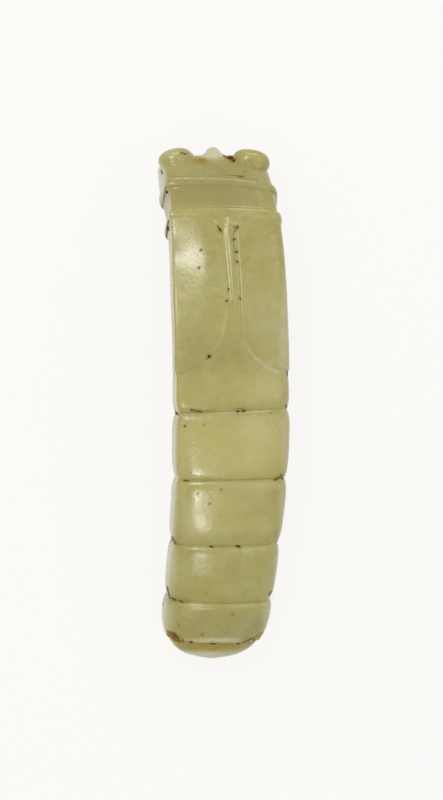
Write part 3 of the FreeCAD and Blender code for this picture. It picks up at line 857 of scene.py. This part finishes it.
def cloud_group():
    """Soft clouds between two levels."""
    tree = bpy.data.node_groups.new("Clouds", "ShaderNodeTree")
    tree.interface.new_socket("Vector", in_out="INPUT", socket_type="NodeSocketVector")
    for label, value in (("Scale", 100.0), ("Detail", 3.0), ("Low", 0.3), ("High", 0.7)):
        tree.interface.new_socket(label, in_out="INPUT", socket_type="NodeSocketFloat").default_value = value
    tree.interface.new_socket("Mask", in_out="OUTPUT", socket_type="NodeSocketFloat")
    given = tree.nodes.new("NodeGroupInput").outputs
    spread = add(
        tree,
        "ShaderNodeMapRange",
        {
            "Value": noise(tree, given["Vector"], given["Scale"], given["Detail"]),
            "From Min": given["Low"],
            "From Max": given["High"],
        },
        interpolation_type="SMOOTHSTEP",
    )
    tree.links.new(spread.outputs[0], tree.nodes.new("NodeGroupOutput").inputs["Mask"])
    return tree


CLOUDS = cloud_group()


def clouds(tree, vector, scale, detail, low, high):
    made = tree.nodes.new("ShaderNodeGroup")
    made.node_tree = CLOUDS
    for label, value in (("Vector", vector), ("Scale", scale), ("Detail", detail), ("Low", low), ("High", high)):
        feed(tree, made.inputs[label], value)
    return made.outputs["Mask"]


def new_material(name):
    material = bpy.data.materials.new(name)
    material.use_nodes = True
    tree = material.node_tree
    return material, tree, tree.nodes["Principled BSDF"].inputs, add(tree, "ShaderNodeTexCoord").outputs["Object"]


def attribute(tree, name):
    return add(tree, "ShaderNodeAttribute", attribute_name=name).outputs["Fac"]


def roughened(tree, shader, grain, strength, distance):
    bump = add(tree, "ShaderNodeBump", {"Height": grain, "Strength": strength, "Distance": distance})
    tree.links.new(bump.outputs[0], shader["Normal"])


def nephrite():
    material, tree, shader, place = new_material("nephrite")
    shade = mixed(tree, clouds(tree, place, 95, 3, 0.36, 0.64), colour(167, 156, 75), colour(169, 162, 88))
    for mask, share, tint in (
        (clouds(tree, place, 210, 4, 0.5, 0.72), 0.6, (158, 146, 74)),
        (clouds(tree, place, 700, 5, 0.5, 0.72), 0.45, (146, 134, 66)),
        (clouds(tree, place, 330, 3, 0.42, 0.8), 0.4, (184, 182, 128)),
    ):
        shade = mixed(tree, times(tree, mask, share), shade, colour(*tint))

    # Thin brown veins where a noise crosses its middle value
    veins = maths(tree, "SUBTRACT", noise(tree, place, 130.0, 4.0, Roughness=0.6), 0.5)
    veins = times(tree, maths(tree, "ABSOLUTE", veins), 55.0)
    veins = maths(tree, "SUBTRACT", 1.0, veins, clamp=True)
    veins = times(tree, veins, clouds(tree, place, 170, 2, 0.55, 0.72))
    shade = mixed(tree, times(tree, veins, 0.35), shade, colour(150, 118, 58))

    # Broad lighter and darker zones: partly the stone's uneven tone, partly painted shade on the head, collar and
    # tail end and painted light over the middle of the back
    tone_and_shade = attribute(tree, "tone_and_shade")
    lighter = maths(tree, "SUBTRACT", tone_and_shade, 0.5, clamp=True)
    darker = maths(tree, "SUBTRACT", 0.5, tone_and_shade, clamp=True)
    shade = mixed(tree, times(tree, lighter, 1.4), shade, colour(192, 182, 108))
    shade = mixed(tree, times(tree, darker, 1.4), shade, colour(140, 128, 62))
    # Painted highlights and painted reflections, lightening the base colour
    shade = mixed(tree, times(tree, attribute(tree, "painted_highlight"), 0.7), shade, colour(214, 210, 180))

    # Stains, crust marks, the stained bore with painted light inside it, and the specks
    uneven = plus(tree, times(tree, clouds(tree, place, 900, 3, 0.35, 0.65), 0.4), 0.65)
    amber = times(tree, attribute(tree, "amber"), uneven)
    shade = mixed(tree, amber, shade, colour(142, 116, 0))
    brown = plus(tree, times(tree, attribute(tree, "brown"), 1.5), noise(tree, place, 2600.0, 3.0))
    brown = maths(tree, "MULTIPLY", maths(tree, "SUBTRACT", brown, 1.25), 3.0, clamp=True)
    brown = times(tree, brown, 0.8)
    shade = mixed(tree, brown, shade, colour(96, 72, 16))
    bore_mask = attribute(tree, "bore")
    # The bore's amber stain, painted lighter in place of the light that does not reach into the bore
    bore_stain_and_light = mixed(tree, clouds(tree, place, 800, 3, 0.35, 0.65), colour(186, 148, 50), colour(124, 92, 22))
    shade = mixed(tree, times(tree, bore_mask, 0.85), shade, bore_stain_and_light)
    speck = attribute(tree, "speck")
    shade = mixed(tree, speck, shade, colour(36, 30, 0))
    tree.links.new(shade, shader["Base Color"])

    # Dirt neither shines nor lets light through
    dirt = maths(tree, "MAXIMUM", maths(tree, "MAXIMUM", brown, speck), times(tree, amber, 0.8))
    clean = maths(tree, "SUBTRACT", 1.0, dirt, clamp=True)
    tree.links.new(times(tree, clean, 0.5), shader["Subsurface Weight"])
    tree.links.new(plus(tree, times(tree, clean, 0.35), 0.15), shader["Specular IOR Level"])
    tree.links.new(times(tree, clean, 0.15), shader["Coat Weight"])
    polish = plus(tree, times(tree, clouds(tree, place, 260, 4, 0.35, 0.7), 0.07), 0.22)
    dull = maths(tree, "MAXIMUM", dirt, bore_mask)
    tree.links.new(plus(tree, polish, times(tree, dull, 0.5)), shader["Roughness"])
    roughened(tree, shader, noise(tree, place, 1800.0, 4.0), 0.16, 0.0002)
    shader["Subsurface Radius"].default_value = (1.0, 0.85, 0.45)
    shader["Subsurface Scale"].default_value = 0.0018
    shader["IOR"].default_value = 1.6
    shader["Coat Roughness"].default_value = 0.2
    return material


stone.data.materials.append(nephrite())
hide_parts("jade_body")
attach(stone, "root")


# The burial crust, as crumbs of earth packed in the carving: node, and how much of its plan width is kept
CRUST_NODES = {
    "eye_crust": 0.75,
    "collar_crust": 0.55,
    "wing_slot_crust": 0.3,
    "wing_tip_crust": 0.7,
    "first_groove_crust": 0.8,
    "second_groove_crust": 0.8,
    "third_groove_crust": 0.8,
    "fourth_groove_crust": 0.8,
    "tail_rim_crust": 0.6,
}
FIRST_SEED = 11
LUMP_GRAIN = 6000.0  # scales of the unevenness of lumps and crumbs
CRUMB_GRAIN = 9000.0
FULL_TURN = 6.283
WELD = 2e-6


def burial_earth():
    material, tree, shader, place = new_material("burial_earth")
    shade = mixed(tree, clouds(tree, place, 2400, 4, 0.35, 0.65), colour(82, 58, 25), colour(118, 84, 38))
    shade = mixed(tree, clouds(tree, place, 5200, 3, 0.52, 0.7), shade, colour(48, 36, 16))
    shade = mixed(tree, clouds(tree, place, 3700, 2, 0.6, 0.74), shade, colour(172, 122, 62))
    tree.links.new(shade, shader["Base Color"])
    grain = noise(tree, place, 9000.0, 4.0)
    tree.links.new(plus(tree, times(tree, grain, 0.2), 0.75), shader["Roughness"])
    shader["Specular IOR Level"].default_value = 0.15
    roughened(tree, shader, grain, 0.6, 0.00004)
    return material


def crumb_tree():
    """Scatters crumbs over lumps whose own surface is made uneven."""
    tree = bpy.data.node_groups.new("Crumbs", "GeometryNodeTree")
    tree.interface.new_socket("Geometry", in_out="INPUT", socket_type="NodeSocketGeometry")
    for label, kind, value in (
        ("Crumbs per Square Metre", "NodeSocketFloat", 6.0e7),
        ("Smallest", "NodeSocketFloat", 0.00003),
        ("Largest", "NodeSocketFloat", 0.0001),
        ("Unevenness", "NodeSocketFloat", 0.00008),
        ("Seed", "NodeSocketInt", 1),
    ):
        tree.interface.new_socket(label, in_out="INPUT", socket_type=kind).default_value = value
    tree.interface.new_socket("Earth", in_out="INPUT", socket_type="NodeSocketMaterial")
    tree.interface.new_socket("Geometry", in_out="OUTPUT", socket_type="NodeSocketGeometry")
    given = tree.nodes.new("NodeGroupInput").outputs
    out = tree.nodes.new("NodeGroupOutput")

    def uneven(mesh, scale, reach):
        spot = add(tree, "GeometryNodeInputPosition").outputs[0]
        tint = add(tree, "ShaderNodeTexNoise", {"Vector": spot, "Scale": scale, "Detail": 2.0}).outputs["Color"]
        shift = add(tree, "ShaderNodeVectorMath", {0: tint, 1: (0.5, 0.5, 0.5)}, operation="SUBTRACT").outputs[0]
        shift = add(tree, "ShaderNodeVectorMath", {0: shift, "Scale": reach}, operation="SCALE").outputs[0]
        return add(tree, "GeometryNodeSetPosition", {"Geometry": mesh, "Offset": shift}).outputs[0]

    lump = uneven(given["Geometry"], LUMP_GRAIN, given["Unevenness"])
    points = add(
        tree,
        "GeometryNodeDistributePointsOnFaces",
        {"Mesh": lump, "Density": given["Crumbs per Square Metre"], "Seed": given["Seed"]},
    ).outputs[0]
    crumb = add(tree, "GeometryNodeMeshIcoSphere", {"Radius": 1.0, "Subdivisions": 2}).outputs[0]
    turn = add(
        tree,
        "FunctionNodeRandomValue",
        {"Max": (FULL_TURN, FULL_TURN, FULL_TURN), "Seed": given["Seed"]},
        data_type="FLOAT_VECTOR",
    ).outputs[0]
    size = add(tree, "FunctionNodeRandomValue", data_type="FLOAT")
    for label, source in (("Min", "Smallest"), ("Max", "Largest"), ("Seed", "Seed")):
        tree.links.new(given[source], next(s for s in size.inputs if s.name == label and s.enabled))
    size = next(s for s in size.outputs if s.enabled)
    placed = add(
        tree, "GeometryNodeInstanceOnPoints", {"Points": points, "Instance": crumb, "Rotation": turn, "Scale": size}
    ).outputs[0]
    # The crumbs are made real here to be shaped one by one, and again with the lumps at the end
    placed = add(tree, "GeometryNodeRealizeInstances", {"Geometry": placed}).outputs[0]
    crumbs = uneven(placed, CRUMB_GRAIN, given["Largest"])
    joined = add(tree, "GeometryNodeJoinGeometry", {"Geometry": lump})
    tree.links.new(crumbs, joined.inputs[0])
    real = add(tree, "GeometryNodeRealizeInstances", {"Geometry": joined.outputs[0]}).outputs[0]
    coated = add(tree, "GeometryNodeSetMaterial", {"Geometry": real, "Material": given["Earth"]}).outputs[0]
    tree.links.new(coated, out.inputs[0])
    return tree


def lump_mesh(node, share):
    """A copy of a node's lumps, each narrowed about its own middle."""
    work = bmesh.new()
    work.from_mesh(bpy.data.objects[node].data)
    bmesh.ops.remove_doubles(work, verts=work.verts, dist=WELD)
    # Found in the order of the mesh, so that every run gives the same sums
    seen, lumps = set(), []
    for first in work.verts:
        if first in seen:
            continue
        seen.add(first)
        waiting, lump = [first], []
        while waiting:
            corner = waiting.pop()
            lump.append(corner)
            for edge in corner.link_edges:
                other = edge.other_vert(corner)
                if other not in seen:
                    seen.add(other)
                    waiting.append(other)
        lumps.append(lump)
    for lump in lumps:
        middle = sum((corner.co for corner in lump), Vector()) / len(lump)
        for corner in lump:
            corner.co.x = middle.x + (corner.co.x - middle.x) * share
            corner.co.y = middle.y + (corner.co.y - middle.y) * share
    mesh = bpy.data.meshes.new(node + "_crumbs")
    work.to_mesh(mesh)
    work.free()
    return mesh


def crumbled(node, share, tree, earth, seed):
    piece = new_object(node + "_crumbs", lump_mesh(node, share))
    scatter = piece.modifiers.new("crumbs", "NODES")
    scatter.node_group = tree
    sockets = {item.name: item.identifier for item in tree.interface.items_tree if item.in_out == "INPUT"}
    scatter[sockets["Seed"]] = seed
    scatter[sockets["Earth"]] = earth
    mesh = evaluated_mesh(piece)
    piece.modifiers.remove(scatter)
    mesh.materials.clear()
    mesh.materials.append(earth)
    mesh.polygons.foreach_set("material_index", np.zeros(len(mesh.polygons), np.int32))
    piece.data = mesh
    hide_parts(node)
    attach(piece, "root")


CRUMBS = crumb_tree()
EARTH = burial_earth()
for number, (node, share) in enumerate(CRUST_NODES.items()):
    crumbled(node, share, CRUMBS, EARTH, FIRST_SEED + number)


# Floor, light and camera
WHITE = colour(253, 252, 250)
HALF_FLOOR = 1.5
FLOOR_GAP = 0.00005
FLOOR_VEIL = 0.9  # the share of the floor's white that is its own light to the camera
ROOM_LIGHT = 0.53
# Name, direction from the stone, distance, width, length and power
LAMPS = (
    ("overhead", (0.55, 0.1, 0.83), 0.9, 0.5, 0.7, 1.0),
    ("left_window", (-0.37, 0.35, 0.86), 0.6, 0.14, 0.17, 0.7),
    ("low_left_window", (-0.31, -0.33, 0.89), 0.6, 0.08, 0.05, 0.4),
    ("head_window", (0.1, 0.85, 0.5), 0.6, 0.5, 0.03, 0.55),
)


def seen_directly(tree):
    """1 for rays from the camera, a shine or a clear body, 0 for rays that light things."""
    path = add(tree, "ShaderNodeLightPath").outputs
    seen = maths(tree, "MAXIMUM", path["Is Camera Ray"], path["Is Glossy Ray"])
    return maths(tree, "MAXIMUM", seen, path["Is Transmission Ray"])


def floor_material():
    material = bpy.data.materials.new("pale_floor")
    material.use_nodes = True
    tree = material.node_tree
    tree.nodes.clear()
    veil = times(tree, seen_directly(tree), FLOOR_VEIL)
    plain = add(tree, "ShaderNodeBsdfDiffuse", {"Color": colour(240, 239, 236)})
    bright = add(tree, "ShaderNodeEmission", {"Color": WHITE, "Strength": 1.0})
    mix = add(tree, "ShaderNodeMixShader", {0: veil, 1: plain.outputs[0], 2: bright.outputs[0]})
    add(tree, "ShaderNodeOutputMaterial", {"Surface": mix.outputs[0]})
    return material


def lay_floor():
    corners = [(x * HALF_FLOOR, y * HALF_FLOOR, 0) for x, y in ((-1, -1), (1, -1), (1, 1), (-1, 1))]
    floor = new_object("floor", new_mesh("floor", corners, [(0, 1, 2, 3)]))
    floor.location = (0, 0, -FLOOR_GAP)
    floor.data.materials.append(floor_material())


def world_light():
    world = bpy.data.worlds.new("white_room")
    bpy.context.scene.world = world
    world.use_nodes = True
    tree = world.node_tree
    tree.nodes.clear()
    room = add(tree, "ShaderNodeBackground", {"Color": (1, 1, 1, 1), "Strength": ROOM_LIGHT})
    white = add(tree, "ShaderNodeBackground", {"Color": WHITE, "Strength": 1.0})
    mix = add(tree, "ShaderNodeMixShader", {0: seen_directly(tree), 1: room.outputs[0], 2: white.outputs[0]})
    add(tree, "ShaderNodeOutputWorld", {"Surface": mix.outputs[0]})


def soft_lamp(name, direction, distance, width, length, power):
    """A soft rectangle of light that faces the stone."""
    lamp = bpy.data.lights.new(name, "AREA")
    lamp.shape = "RECTANGLE"
    lamp.size, lamp.size_y = width, length
    lamp.energy = power
    away = Vector(direction).normalized()
    turn = away.to_track_quat("Z", "Y").to_matrix().to_4x4()
    new_object(name, lamp).matrix_world = Matrix.Translation(away * distance) @ turn


def place_camera():
    right = Vector((math.cos(TILT), 0, math.sin(TILT)))
    up = Vector((0, 1, 0))
    back = right.cross(up)
    top = float(ring(0.0)[1])
    origin = Vector((-SEAT[0], -SEAT[1], -SEAT[2])) + Vector((0, 0, top))
    aim = origin - right * (TOP_OF_BOW[0] - IMAGE[0] / 2) * PIXEL + up * (TOP_OF_BOW[1] - IMAGE[1] / 2) * PIXEL
    aim -= back * top * math.cos(TILT)
    data = bpy.data.cameras.new("camera")
    data.sensor_width = 36.0
    data.lens = data.sensor_width / 2 / (IMAGE[1] * PIXEL / 2 / CAMERA_DISTANCE)
    data.clip_start, data.clip_end = 0.05, 10.0
    camera = new_object("camera", data)
    turn = Matrix((right, up, back)).transposed().to_4x4()
    camera.matrix_world = Matrix.Translation((aim + back * CAMERA_DISTANCE) * MM) @ turn
    bpy.context.scene.camera = camera


lay_floor()
world_light()
for lamp in LAMPS:
    soft_lamp(*lamp)
place_camera()
bpy.context.scene.view_settings.view_transform = "Standard"
